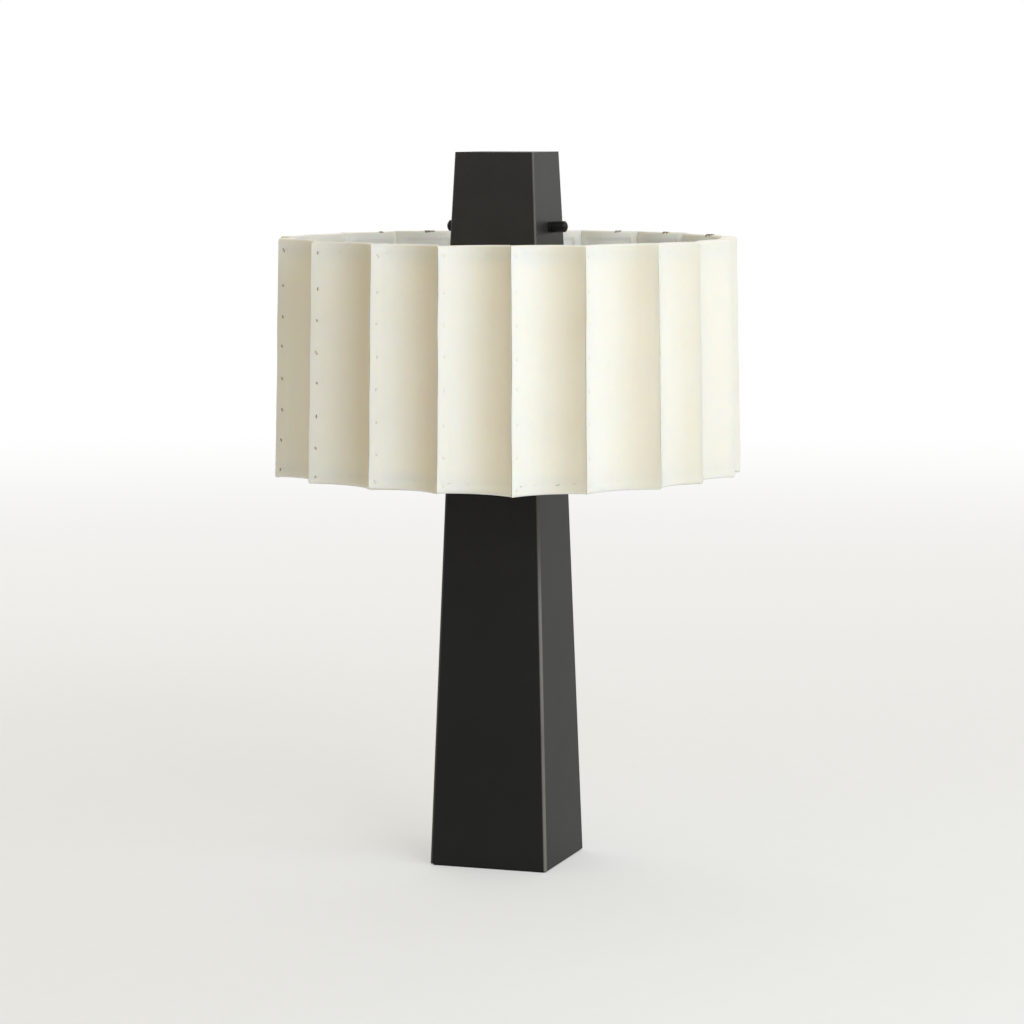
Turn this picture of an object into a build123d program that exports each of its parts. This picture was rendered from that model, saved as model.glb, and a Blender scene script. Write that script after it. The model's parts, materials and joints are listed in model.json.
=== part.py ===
"""Table lamp: tapered square column, scalloped drum shade, square cap with two switch knobs.

Millimetres, +Z up, floor at z = 0, front towards -Y, cord inlet at the rear.
"""

import os
from math import asin, atan, cos, degrees, radians, sin, sqrt, tan

from build123d import *

# Overall: cap, shade and stem keep their sizes, and the column takes up a change of height
OVERALL_HEIGHT = 700.0
FIT_GAP = 0.2
SLIDE_GAP = 0.05

# Foot
PAD_THICKNESS = 1.5
PAD_INSET = 2.0
BALLAST_HEIGHT = 26.0
POCKET_DEPTH = 13.0
POCKET_DIAMETER = 30.0
CHANNEL_SIDE_GAP = 2.7
CHANNEL_TOP_GAP = 1.7

# Column
COLUMN_BASE_WIDTH = 120.8
COLUMN_LEAN = 13.25
COLUMN_WALL = 2.0
COLUMN_TOP_PLATE = 3.0
COLUMN_EDGE_RADIUS = 3.0

# Cord inlet
INLET_ABOVE_EDGE = 10.0
INLET_BORE = 7.6
INLET_NECK = 11.0
INLET_FLANGE_LIP = 1.5
INLET_FLANGE_THICKNESS = 2.0
INLET_CLIP_LIP = 0.8
INLET_CLIP_LENGTH = 2.0

# Clamping pipe, nuts and washers
PIPE_DIAMETER = 10.0
PIPE_WALL = 1.5
PIPE_FOOT = 4.0
PIPE_ABOVE_NUT = 3.0
LEAD_HOLE = 5.0
LEAD_HOLE_RISE = 8.0
NUT_ACROSS_FLATS = 15.0
NUT_HEIGHT = 5.0
WASHER_DIAMETER = 22.0
WASHER_THICKNESS = 2.0
STEM_DIAMETER = 16.0
STEM_LENGTH = 189.5

# Lampholders and lamps
BAR_WIDTH = 24.0
BAR_THICKNESS = 3.0
BAR_END = 17.0
HOLDER_SPREAD = 148.0
NIPPLE_IN_HOLDER = 10.0
HOLDER_DIAMETER = 40.0
HOLDER_BASE = 15.0
HOLDER_RIM = 3.4
SHELL_WALL = 0.6
SHELL_SETBACK = 0.6
LAMP_CLEARANCE = 0.3
LAMP_CAP_DIAMETER = 26.4
LAMP_CAP_LENGTH = 26.0
LAMP_TIP_DIAMETER = 9.0
LAMP_TIP_LENGTH = 3.0
LAMP_TUBE_DIAMETER = 40.0
LAMP_LENGTH = 118.0
LAMP_NECK_STEP = 0.7
LAMP_RIM_GAP = 0.6
LAMP_SHOULDER = 16.0
LAMP_END_BEVEL = 4.0

# Shade: panel spans as sewn by hand, in degrees round the drum from the +X side
PANEL_SPANS = (17.3,) * 12 + (24.2, 20.9, 17.8, 17.4, 17.7, 20.1, 14.9, 19.4)
SHADE_HEIGHT = 231.0
SHADE_RIM_RISE = 16.5
RIDGE_RADIUS = 229.0
SHADE_LEAN = 5.0
SCALLOP_SWING = 37.0
PANEL_THICKNESS = 1.2
SEAM_GAP = 0.3
SHADE_TURN = 1.7
FRAME_GAP = 0.1
RIB_GAP = 0.25
RING_THICKNESS = 2.0
RING_HEIGHT = 5.0
RING_SETBACK = 2.0
RIB_SIZE = 3.0
HUB_DIAMETER = 44.0
HUB_COVER = 0.2
ARM_COUNT = 4
ARM_DIAMETER = 3.6

# Cap
CAP_HEIGHT = 99.5
CAP_BOTTOM_WIDTH = 89.4
CAP_LEAN = 4.55
CAP_WALL = 2.0
CAP_ROOF = 3.0
CAP_EDGE_RADIUS = 2.0
CAP_FLOOR_THICKNESS = 3.0
LUG_SIZE = 11.0
LUG_HEIGHT = 6.0
CAP_SCREW_DIAMETER = 3.0
CAP_SCREW_HEAD = 5.5
CAP_SCREW_HEAD_HEIGHT = 2.0

# Switches and knobs
KNOB_RISE = 26.5
KNOB_DIAMETER = 11.0
KNOB_LENGTH = 16.0
KNOB_DOME_RADIUS = 7.0
KNOB_BORE_DEPTH = 11.0
KNOB_STANDOFF = 0.3
SWITCH_WIDTH = 22.0
SWITCH_HEIGHT = 20.0
SWITCH_DEPTH = 18.0
BUSH_DIAMETER = 8.0
BUSH_PROUD = 0.8
RING_NUT_DIAMETER = 11.0
RING_NUT_HEIGHT = 2.2
SPINDLE_DIAMETER = 5.0
SPINDLE_IN_BODY = 8.0
SPINDLE_FLAT = 1.8

# Levels of the stack, from the cap down
cap_bottom = OVERALL_HEIGHT - CAP_HEIGHT
floor_top = cap_bottom + CAP_FLOOR_THICKNESS
knob_z = cap_bottom + KNOB_RISE
hub_thickness = ARM_DIAMETER + 2 * HUB_COVER
hub_bottom = cap_bottom - hub_thickness
bar_top = hub_bottom - STEM_LENGTH
column_top = bar_top - BAR_THICKNESS
shade_top = cap_bottom + SHADE_RIM_RISE
shade_bottom = shade_top - SHADE_HEIGHT
foot_z = PAD_THICKNESS
pocket_roof = foot_z + POCKET_DEPTH
top_nut_z = floor_top + WASHER_THICKNESS
pipe_bottom = foot_z + PIPE_FOOT
pipe_top = top_nut_z + NUT_HEIGHT + PIPE_ABOVE_NUT

# Slopes, bores and the shade's ridges
column_height = column_top - foot_z
column_slope = COLUMN_LEAN / column_height
column_taper = atan(column_slope)
cap_slope = CAP_LEAN / CAP_HEIGHT
cap_taper = atan(cap_slope)
pipe_hole = PIPE_DIAMETER / 2 + FIT_GAP
pipe_bore = PIPE_DIAMETER - 2 * PIPE_WALL
panel_count = len(PANEL_SPANS)
full_turn = 360 / sum(PANEL_SPANS)
half_spans = [radians(full_turn * span / 2) for span in PANEL_SPANS]
ridge_angles = [SHADE_TURN + full_turn * sum(PANEL_SPANS[:ridge]) for ridge in range(panel_count + 1)]


def column_half_width(z):
    return COLUMN_BASE_WIDTH / 2 - column_slope * (z - foot_z)


def cap_half_width(z):
    return CAP_BOTTOM_WIDTH / 2 - cap_slope * (z - cap_bottom)


def ridge_radius(z):
    return RIDGE_RADIUS - SHADE_LEAN * (z - shade_bottom) / SHADE_HEIGHT


def scallop_radius(panel):
    """Radius of a panel's curve, which leaves its chord at the swing angle."""
    return RIDGE_RADIUS * sin(half_spans[panel]) / sin(radians(SCALLOP_SWING))


def scallop_centre(panel, z):
    """Distance from the lamp's axis to the centre of a panel's curve at height z."""
    ridge, half = ridge_radius(z), half_spans[panel]
    return ridge * cos(half) + sqrt(scallop_radius(panel) ** 2 - (ridge * sin(half)) ** 2)


def panel_end(panel, z, offset):
    """Distance from the axis to the end of a panel's curve, set inwards by offset, in its seam plane."""
    centre, half = scallop_centre(panel, z), half_spans[panel]
    return centre * cos(half) - sqrt((scallop_radius(panel) + offset) ** 2 - (centre * sin(half)) ** 2)


def crease_radius(ridge, z, offset):
    """Distance from the axis to the crease behind a ridge that clears both its panels by offset."""
    return min(panel_end(panel % panel_count, z, offset) for panel in (ridge - 1, ridge))


def around(radius, angle):
    return (radius * cos(radians(angle)), radius * sin(radians(angle)))


def upright_edges(builder):
    return builder.edges().filter_by(lambda edge: abs(edge.tangent_at(0).Z) > 0.5)


def save(part, name):
    part.label = name
    export_step(part, f"parts/{name}.step")


os.makedirs("parts", exist_ok=True)

# Felt under the foot
pad_width = COLUMN_BASE_WIDTH - 2 * PAD_INSET
with BuildPart() as felt:
    with BuildSketch():
        RectangleRounded(pad_width, pad_width, COLUMN_EDGE_RADIUS)
    extrude(amount=PAD_THICKNESS)
save(felt.part, "felt_pad")

# Rear wall plane at the cord inlet
inlet_z = foot_z + INLET_ABOVE_EDGE
inlet_flange = INLET_NECK + 2 * INLET_FLANGE_LIP
inlet_clip = INLET_NECK + 2 * INLET_CLIP_LIP
inlet_face = Plane(
    origin=(0, column_half_width(inlet_z), inlet_z),
    x_dir=(1, 0, 0),
    z_dir=(0, cos(column_taper), sin(column_taper)),
)

# Folded and welded column with its top plate
with BuildPart() as column:
    with BuildSketch(Plane.XY.offset(foot_z)):
        Rectangle(COLUMN_BASE_WIDTH, COLUMN_BASE_WIDTH)
    extrude(amount=column_height, taper=degrees(column_taper))
    fillet(upright_edges(column), COLUMN_EDGE_RADIUS)
    with BuildSketch(Plane.XY.offset(foot_z)):
        Rectangle(COLUMN_BASE_WIDTH - 2 * COLUMN_WALL, COLUMN_BASE_WIDTH - 2 * COLUMN_WALL)
    extrude(amount=column_height - COLUMN_TOP_PLATE, taper=degrees(column_taper), mode=Mode.SUBTRACT)
    with BuildSketch(Plane.XY.offset(column_top)):
        Circle(pipe_hole)
    extrude(amount=-COLUMN_TOP_PLATE, mode=Mode.SUBTRACT)
    with BuildSketch(inlet_face):
        Circle(INLET_NECK / 2 + SLIDE_GAP)
    extrude(amount=-2 * COLUMN_WALL, mode=Mode.SUBTRACT)
save(column.part, "column_shell")

# Ballast wedged into the foot, with the nut pocket and the cord channel below
ballast_width = COLUMN_BASE_WIDTH - 2 * (COLUMN_WALL + FIT_GAP)
channel_width = inlet_clip + 2 * CHANNEL_SIDE_GAP
channel_height = INLET_ABOVE_EDGE + inlet_clip / 2 + CHANNEL_TOP_GAP
with BuildPart() as ballast:
    with BuildSketch(Plane.XY.offset(foot_z)):
        Rectangle(ballast_width, ballast_width)
    extrude(amount=BALLAST_HEIGHT, taper=degrees(column_taper))
    with BuildSketch(Plane.XY.offset(foot_z)):
        Circle(POCKET_DIAMETER / 2)
    extrude(amount=POCKET_DEPTH, mode=Mode.SUBTRACT)
    with BuildSketch(Plane.XY.offset(foot_z)):
        with Locations((0, ballast_width / 4)):
            Rectangle(channel_width, ballast_width / 2)
    extrude(amount=channel_height, mode=Mode.SUBTRACT)
    with BuildSketch(Plane.XY.offset(foot_z)):
        Circle(pipe_hole)
    extrude(amount=BALLAST_HEIGHT, mode=Mode.SUBTRACT)
save(ballast.part, "ballast_weight")

# Snap-in bushing of the cord inlet
with BuildPart() as bushing:
    with BuildSketch(inlet_face):
        Circle(inlet_flange / 2)
    extrude(amount=INLET_FLANGE_THICKNESS)
    with BuildSketch(inlet_face):
        Circle(INLET_NECK / 2)
    extrude(amount=-COLUMN_WALL)
    with BuildSketch(inlet_face.offset(-COLUMN_WALL)):
        Circle(inlet_clip / 2)
    extrude(amount=-INLET_CLIP_LENGTH)
    with BuildSketch(inlet_face.offset(INLET_FLANGE_THICKNESS)):
        Circle(INLET_BORE / 2)
    inlet_length = INLET_FLANGE_THICKNESS + COLUMN_WALL + INLET_CLIP_LENGTH
    extrude(amount=-inlet_length, mode=Mode.SUBTRACT)
save(bushing.part, "cord_bushing")

# Pipe that clamps the whole stack, with side holes for the lampholder leads
lead_z = bar_top + LEAD_HOLE_RISE
lead_plane = Plane(origin=(-STEM_DIAMETER, 0, lead_z), z_dir=(1, 0, 0))
with BuildPart() as pipe:
    with BuildSketch(Plane.XY.offset(pipe_bottom)):
        Circle(PIPE_DIAMETER / 2)
        Circle(pipe_bore / 2, mode=Mode.SUBTRACT)
    extrude(amount=pipe_top - pipe_bottom)
    with BuildSketch(lead_plane):
        Circle(LEAD_HOLE / 2)
    extrude(amount=2 * STEM_DIAMETER, mode=Mode.SUBTRACT)
save(pipe.part, "threaded_pipe")

with BuildPart() as stem:
    with BuildSketch(Plane.XY.offset(bar_top)):
        Circle(STEM_DIAMETER / 2)
        Circle(pipe_hole, mode=Mode.SUBTRACT)
    extrude(amount=hub_bottom - bar_top)
    with BuildSketch(lead_plane):
        Circle(LEAD_HOLE / 2)
    extrude(amount=2 * STEM_DIAMETER, mode=Mode.SUBTRACT)
save(stem.part, "stem_tube")

# Bar that carries the two lampholders beside the stem
holder_spots = [(-HOLDER_SPREAD / 2, 0), (HOLDER_SPREAD / 2, 0)]
bar_length = HOLDER_SPREAD + 2 * BAR_END
with BuildPart() as bar:
    with BuildSketch(Plane.XY.offset(column_top)):
        SlotOverall(bar_length, BAR_WIDTH)
        with Locations((0, 0), *holder_spots):
            Circle(pipe_hole, mode=Mode.SUBTRACT)
    extrude(amount=BAR_THICKNESS)
save(bar.part, "lampholder_bar")

# Identical nuts: under the ballast, on top of the cap floor, under each lampholder
nut_bottom_z = pocket_roof - WASHER_THICKNESS - NUT_HEIGHT
nut_spots = [(0, 0, nut_bottom_z), (0, 0, top_nut_z)]
nut_spots += [(x, y, column_top - NUT_HEIGHT) for x, y in holder_spots]
with BuildPart() as nuts:
    for spot in nut_spots:
        with BuildSketch(Plane(spot)):
            RegularPolygon(NUT_ACROSS_FLATS / 2, 6, major_radius=False)
            Circle(PIPE_DIAMETER / 2 + SLIDE_GAP, mode=Mode.SUBTRACT)
        extrude(amount=NUT_HEIGHT)
save(nuts.part, "pipe_nuts")

with BuildPart() as washers:
    for z in (pocket_roof - WASHER_THICKNESS, floor_top):
        with BuildSketch(Plane.XY.offset(z)):
            Circle(WASHER_DIAMETER / 2)
            Circle(pipe_hole, mode=Mode.SUBTRACT)
        extrude(amount=WASHER_THICKNESS)
save(washers.part, "pipe_washers")

# Lampholders on their nipples
nipple_bottom = column_top - NUT_HEIGHT
nipple_length = NUT_HEIGHT + BAR_THICKNESS + NIPPLE_IN_HOLDER
lamp_cap_end = LAMP_TIP_LENGTH + LAMP_CAP_LENGTH
shell_radius = LAMP_CAP_DIAMETER / 2 + LAMP_CLEARANCE
shell_length = SHELL_WALL + lamp_cap_end - SHELL_SETBACK
cavity_radius = shell_radius + SHELL_WALL + SLIDE_GAP
cavity_depth = SHELL_WALL + lamp_cap_end + HOLDER_RIM
cavity_z = bar_top + HOLDER_BASE
with BuildPart() as nipples:
    with BuildSketch(Plane.XY.offset(nipple_bottom)):
        with Locations(*holder_spots):
            Circle(PIPE_DIAMETER / 2)
            Circle(pipe_bore / 2, mode=Mode.SUBTRACT)
    extrude(amount=nipple_length)
save(nipples.part, "holder_nipples")

with BuildPart() as holders:
    with BuildSketch(Plane.XY.offset(bar_top)):
        with Locations(*holder_spots):
            Circle(HOLDER_DIAMETER / 2)
    extrude(amount=HOLDER_BASE + cavity_depth)
    with BuildSketch(Plane.XY.offset(cavity_z)):
        with Locations(*holder_spots):
            Circle(cavity_radius)
    extrude(amount=cavity_depth, mode=Mode.SUBTRACT)
    with BuildSketch(Plane.XY.offset(bar_top)):
        with Locations(*holder_spots):
            Circle(PIPE_DIAMETER / 2 + SLIDE_GAP)
    extrude(amount=HOLDER_BASE, mode=Mode.SUBTRACT)
save(holders.part, "lampholder_bodies")

with BuildPart() as shells:
    with BuildSketch(Plane.XY.offset(cavity_z)):
        with Locations(*holder_spots):
            Circle(shell_radius + SHELL_WALL)
    extrude(amount=shell_length)
    with BuildSketch(Plane.XY.offset(cavity_z + SHELL_WALL)):
        with Locations(*holder_spots):
            Circle(shell_radius)
    extrude(amount=shell_length, mode=Mode.SUBTRACT)
save(shells.part, "screw_shells")

# Lamps: contact tip, screw cap and opal tube in one bought piece
lamp_z = cavity_z + SHELL_WALL
neck_radius = LAMP_CAP_DIAMETER / 2 - LAMP_NECK_STEP
neck_end = lamp_cap_end + HOLDER_RIM + LAMP_RIM_GAP
tube_radius = LAMP_TUBE_DIAMETER / 2
with BuildPart() as lamps:
    for x, y in holder_spots:
        with BuildSketch(Plane(origin=(x, y, lamp_z), x_dir=(1, 0, 0), z_dir=(0, -1, 0))):
            with BuildLine():
                Polyline(
                    (0, 0),
                    (LAMP_TIP_DIAMETER / 2, 0),
                    (LAMP_TIP_DIAMETER / 2, LAMP_TIP_LENGTH / 2),
                    (LAMP_CAP_DIAMETER / 2, LAMP_TIP_LENGTH),
                    (LAMP_CAP_DIAMETER / 2, lamp_cap_end),
                    (neck_radius, lamp_cap_end),
                    (neck_radius, neck_end),
                    (tube_radius, neck_end + LAMP_SHOULDER),
                    (tube_radius, LAMP_LENGTH - LAMP_END_BEVEL),
                    (tube_radius - LAMP_END_BEVEL, LAMP_LENGTH),
                    (0, LAMP_LENGTH),
                    close=True,
                )
            make_face()
        revolve(axis=Axis((x, y, 0), (0, 0, 1)))
save(lamps.part, "light_bulbs")


# Shade panels: each a curved sheet between two ridges, leaning in towards the top
def shade_panel(index):
    half = half_spans[index]
    turn = (ridge_angles[index] + ridge_angles[index + 1]) / 2
    foot = Vector(*around(scallop_centre(index, shade_bottom), turn), shade_bottom)
    head = Vector(*around(scallop_centre(index, shade_top), turn), shade_top)
    along = (head - foot).normalized()
    tangent = Vector(*around(1, turn + 90), 0)
    section = Plane(foot, x_dir=along.cross(tangent), z_dir=tangent)
    with BuildPart() as panel:
        with BuildSketch(Plane.XY.offset(shade_bottom).rotated((0, 0, turn))):
            tip = SEAM_GAP / 2 / sin(half)
            reach = RIDGE_RADIUS * 1.1
            Polygon(
                (tip, 0),
                (tip + reach, -reach * tan(half)),
                (tip + reach, reach * tan(half)),
                align=None,
            )
        extrude(amount=SHADE_HEIGHT)
        with BuildSketch(section):
            with Locations((scallop_radius(index) + PANEL_THICKNESS / 2, SHADE_HEIGHT / 2)):
                Rectangle(PANEL_THICKNESS, SHADE_HEIGHT * 1.2)
        revolve(axis=Axis(foot, along), mode=Mode.INTERSECT)
    return panel.part


for index in range(panel_count):
    save(shade_panel(index), f"shade_panel_{index + 1:02d}")


# Frame rings: flat strip bent to the scallops, just inside the panels
def scallop_arc(z, offset, index):
    start, end = ridge_angles[index], ridge_angles[index + 1]
    middle = scallop_centre(index, z) - scallop_radius(index) - offset
    return (
        around(crease_radius(index, z, offset), start),
        around(middle, (start + end) / 2),
        around(crease_radius(index + 1, z, offset), end),
    )


ring_offset = PANEL_THICKNESS + FRAME_GAP
ring_levels = {
    "shade_bottom_ring": shade_bottom + RING_SETBACK,
    "shade_top_ring": shade_top - RING_SETBACK - RING_HEIGHT,
}
for name, z in ring_levels.items():
    with BuildPart() as ring:
        with BuildSketch(Plane.XY.offset(z)):
            for offset, mode in ((ring_offset, Mode.ADD), (ring_offset + RING_THICKNESS, Mode.SUBTRACT)):
                with BuildLine():
                    for index in range(panel_count):
                        ThreePointArc(*scallop_arc(z + RING_HEIGHT, offset, index))
                make_face(mode=mode)
        extrude(amount=RING_HEIGHT)
    save(ring.part, name)

# Ribs: square rod set cornerwise in the crease behind each ridge, butted between the two rings
rib_bottom = ring_levels["shade_bottom_ring"] + RING_HEIGHT + FRAME_GAP
rib_top = ring_levels["shade_top_ring"] - FRAME_GAP
rib_offset = PANEL_THICKNESS + RIB_GAP + RIB_SIZE / 2
with BuildPart() as ribs:
    for ridge in range(panel_count):
        turn = ridge_angles[ridge]
        low = Vector(*around(crease_radius(ridge, rib_bottom, rib_offset), turn), rib_bottom)
        high = Vector(*around(crease_radius(ridge, rib_top, rib_offset), turn), rib_top)
        with BuildSketch(Plane(low, x_dir=(*around(1, turn + 90), 0), z_dir=high - low)):
            Rectangle(RIB_SIZE, RIB_SIZE, rotation=45)
        extrude(amount=(high - low).length)
save(ribs.part, "shade_ribs")

# Spider: hub clamped under the cap floor, level arms out to four of the ribs
with BuildPart() as hub:
    with BuildSketch(Plane.XY.offset(hub_bottom)):
        Circle(HUB_DIAMETER / 2)
        Circle(pipe_hole, mode=Mode.SUBTRACT)
    extrude(amount=hub_thickness)
save(hub.part, "spider_hub")

arm_z = hub_bottom + hub_thickness / 2
arm_start = HUB_DIAMETER / 2 + FRAME_GAP
with BuildPart() as arms:
    for index in range(ARM_COUNT):
        rib = index * panel_count // ARM_COUNT
        turn = ridge_angles[rib]
        arm_end = crease_radius(rib, arm_z, rib_offset) - RIB_SIZE * sqrt(2) / 2 - FRAME_GAP
        with BuildSketch(Plane((*around(arm_start, turn), arm_z), z_dir=(*around(1, turn), 0))):
            Circle(ARM_DIAMETER / 2)
        extrude(amount=arm_end - arm_start)
save(arms.part, "spider_arms")

# Cap shell with four corner lugs for the floor screws and a hole for each switch
knob_faces = {
    side: Plane(
        origin=(sign * cap_half_width(knob_z), 0, knob_z),
        x_dir=(0, 1, 0),
        z_dir=(sign * cos(cap_taper), 0, sin(cap_taper)),
    )
    for side, sign in (("left", -1), ("right", 1))
}
lug_outer = cap_half_width(floor_top + LUG_HEIGHT) - CAP_WALL / 2
lug_centre = lug_outer - LUG_SIZE / 2
lug_grid = GridLocations(2 * lug_centre, 2 * lug_centre, 2, 2)
with BuildPart() as cap:
    with BuildSketch(Plane.XY.offset(cap_bottom)):
        Rectangle(CAP_BOTTOM_WIDTH, CAP_BOTTOM_WIDTH)
    extrude(amount=CAP_HEIGHT, taper=degrees(cap_taper))
    fillet(upright_edges(cap), CAP_EDGE_RADIUS)
    with BuildSketch(Plane.XY.offset(cap_bottom)):
        Rectangle(CAP_BOTTOM_WIDTH - 2 * CAP_WALL, CAP_BOTTOM_WIDTH - 2 * CAP_WALL)
    extrude(amount=CAP_HEIGHT - CAP_ROOF, taper=degrees(cap_taper), mode=Mode.SUBTRACT)
    with BuildSketch(Plane.XY.offset(floor_top)):
        with lug_grid:
            Rectangle(LUG_SIZE, LUG_SIZE)
            Circle(CAP_SCREW_DIAMETER / 2 + SLIDE_GAP, mode=Mode.SUBTRACT)
    extrude(amount=LUG_HEIGHT)
    for face in knob_faces.values():
        with BuildSketch(face):
            Circle(BUSH_DIAMETER / 2 + SLIDE_GAP)
        extrude(amount=-2 * CAP_WALL, mode=Mode.SUBTRACT)
save(cap.part, "cap_shell")

floor_width = 2 * (cap_half_width(floor_top) - CAP_WALL - FIT_GAP)
with BuildPart() as floor:
    with BuildSketch(Plane.XY.offset(cap_bottom)):
        Rectangle(floor_width, floor_width)
        Circle(pipe_hole, mode=Mode.SUBTRACT)
        with lug_grid:
            Circle(CAP_SCREW_DIAMETER / 2 + FIT_GAP, mode=Mode.SUBTRACT)
    extrude(amount=CAP_FLOOR_THICKNESS)
save(floor.part, "cap_floor")

with BuildPart() as screws:
    with BuildSketch(Plane.XY.offset(cap_bottom - CAP_SCREW_HEAD_HEIGHT)):
        with lug_grid:
            Circle(CAP_SCREW_HEAD / 2)
    extrude(amount=CAP_SCREW_HEAD_HEIGHT)
    with BuildSketch(Plane.XY.offset(cap_bottom)):
        with lug_grid:
            Circle(CAP_SCREW_DIAMETER / 2)
    extrude(amount=CAP_FLOOR_THICKNESS + LUG_HEIGHT)
save(screws.part, "cap_screws")

# Rotary switches inside the cap, each with a ring nut outside, a spindle and a knob
wall_inside = -CAP_WALL * cos(cap_taper)
knob_start = RING_NUT_HEIGHT + KNOB_STANDOFF
bush_stand = RING_NUT_HEIGHT + BUSH_PROUD
spindle_length = SPINDLE_IN_BODY - wall_inside + knob_start + KNOB_BORE_DEPTH - KNOB_STANDOFF
flat_start = bush_stand + KNOB_STANDOFF
dome_centre = KNOB_LENGTH - KNOB_DOME_RADIUS
dome_half = asin(KNOB_DIAMETER / 2 / KNOB_DOME_RADIUS) / 2
dome_base = dome_centre + KNOB_DOME_RADIUS * cos(2 * dome_half)
for side, face in knob_faces.items():
    with BuildPart() as switch:
        with BuildSketch(face.offset(wall_inside)):
            Rectangle(SWITCH_WIDTH, SWITCH_HEIGHT)
        extrude(amount=-SWITCH_DEPTH)
        with BuildSketch(face.offset(wall_inside)):
            Circle(BUSH_DIAMETER / 2)
        extrude(amount=bush_stand - wall_inside)
        with BuildSketch(face.offset(bush_stand)):
            Circle(SPINDLE_DIAMETER / 2 + SLIDE_GAP)
        extrude(amount=-(bush_stand - wall_inside + SPINDLE_IN_BODY + FIT_GAP), mode=Mode.SUBTRACT)
    save(switch.part, f"rotary_switch_{side}")

    with BuildPart() as ring_nut:
        with BuildSketch(face):
            Circle(RING_NUT_DIAMETER / 2)
            Circle(BUSH_DIAMETER / 2 + SLIDE_GAP, mode=Mode.SUBTRACT)
        extrude(amount=RING_NUT_HEIGHT)
    save(ring_nut.part, f"switch_ring_nut_{side}")

    with BuildPart() as spindle:
        with BuildSketch(face.offset(wall_inside - SPINDLE_IN_BODY)):
            Circle(SPINDLE_DIAMETER / 2)
        extrude(amount=spindle_length)
        with BuildSketch(face.offset(flat_start)):
            with Locations((SPINDLE_FLAT + SPINDLE_DIAMETER / 2, 0)):
                Rectangle(SPINDLE_DIAMETER, SPINDLE_DIAMETER)
        extrude(amount=spindle_length, mode=Mode.SUBTRACT)
    save(spindle.part, f"switch_spindle_{side}")

    with BuildPart() as knob:
        start = face.offset(knob_start)
        with BuildSketch(Plane(start.origin, x_dir=face.x_dir, z_dir=face.x_dir.cross(face.z_dir))):
            with BuildLine():
                Polyline((0, KNOB_LENGTH), (0, 0), (KNOB_DIAMETER / 2, 0), (KNOB_DIAMETER / 2, dome_base))
                ThreePointArc(
                    (KNOB_DIAMETER / 2, dome_base),
                    (KNOB_DOME_RADIUS * sin(dome_half), dome_centre + KNOB_DOME_RADIUS * cos(dome_half)),
                    (0, KNOB_LENGTH),
                )
            make_face()
        revolve(axis=Axis(face.origin, face.z_dir))
        with BuildSketch(start):
            Circle(BUSH_DIAMETER / 2 + FIT_GAP)
        extrude(amount=BUSH_PROUD, mode=Mode.SUBTRACT)
        with BuildSketch(start):
            Circle(SPINDLE_DIAMETER / 2 + SLIDE_GAP)
            with Locations((SPINDLE_FLAT + SLIDE_GAP + SPINDLE_DIAMETER / 2, 0)):
                Rectangle(SPINDLE_DIAMETER, SPINDLE_DIAMETER + 1, mode=Mode.SUBTRACT)
        extrude(amount=KNOB_BORE_DEPTH, mode=Mode.SUBTRACT)
    save(knob.part, f"knob_{side}")
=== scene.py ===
"""Table lamp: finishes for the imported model, sewn shade panels, studio and camera.

Metres, +Z up, floor at z = 0, front towards -Y.
"""

import json
import math
import random

import bmesh
import bpy
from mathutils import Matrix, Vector


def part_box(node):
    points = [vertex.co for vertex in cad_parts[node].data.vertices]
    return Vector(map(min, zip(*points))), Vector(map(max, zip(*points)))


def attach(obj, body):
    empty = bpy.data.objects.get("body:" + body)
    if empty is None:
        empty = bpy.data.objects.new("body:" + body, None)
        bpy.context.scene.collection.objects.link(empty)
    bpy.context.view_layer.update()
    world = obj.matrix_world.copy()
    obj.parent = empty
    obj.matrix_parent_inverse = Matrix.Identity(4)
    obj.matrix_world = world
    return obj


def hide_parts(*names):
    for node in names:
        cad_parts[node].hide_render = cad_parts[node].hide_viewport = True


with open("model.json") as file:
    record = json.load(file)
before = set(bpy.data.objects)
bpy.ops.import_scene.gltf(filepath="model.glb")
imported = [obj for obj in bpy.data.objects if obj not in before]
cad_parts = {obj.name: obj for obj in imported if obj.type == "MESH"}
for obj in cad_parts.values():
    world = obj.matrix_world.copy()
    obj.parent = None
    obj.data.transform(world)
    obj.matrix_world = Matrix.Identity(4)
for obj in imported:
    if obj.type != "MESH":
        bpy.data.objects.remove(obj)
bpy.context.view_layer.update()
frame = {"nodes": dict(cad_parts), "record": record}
nodes = frame["nodes"]
MM = 0.001


# Finishes

# Square posts: width at the head, rounding of the upright edges, heights where the column's painted edge
# highlight fades into the shade's shadow, and the cap's share of wear and highlight
COLUMN_HEAD_WIDTH, COLUMN_ROUNDING = 94.3 * MM, 3.0 * MM
COLUMN_SHADE_SHADOW = (250 * MM, 330 * MM)
CAP_HEAD_WIDTH, CAP_ROUNDING, CAP_WEAR_AND_HIGHLIGHT = 80.3 * MM, 2.0 * MM, 0.65

# Edges lighter from a little wear and mostly a painted highlight: full and none at these shares of the
# rounding, and what is left of it on the left, away from the lamps, and above, in the shade's shadow
WEAR_AND_HIGHLIGHT_FULL, WEAR_AND_HIGHLIGHT_NONE = 0.6, 1.08
PAINTED_HIGHLIGHT_LEFT, PAINTED_HIGHLIGHT_ABOVE = 0.3, 0.55
LEFT_TO_RIGHT = 20 * MM

# Screw caps of the lamps end this far above the shells that they sit in
LAMP_CAP_SHOWS = 0.6 * MM
LAMP_THREAD_PITCH = 3.6 * MM


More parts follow.
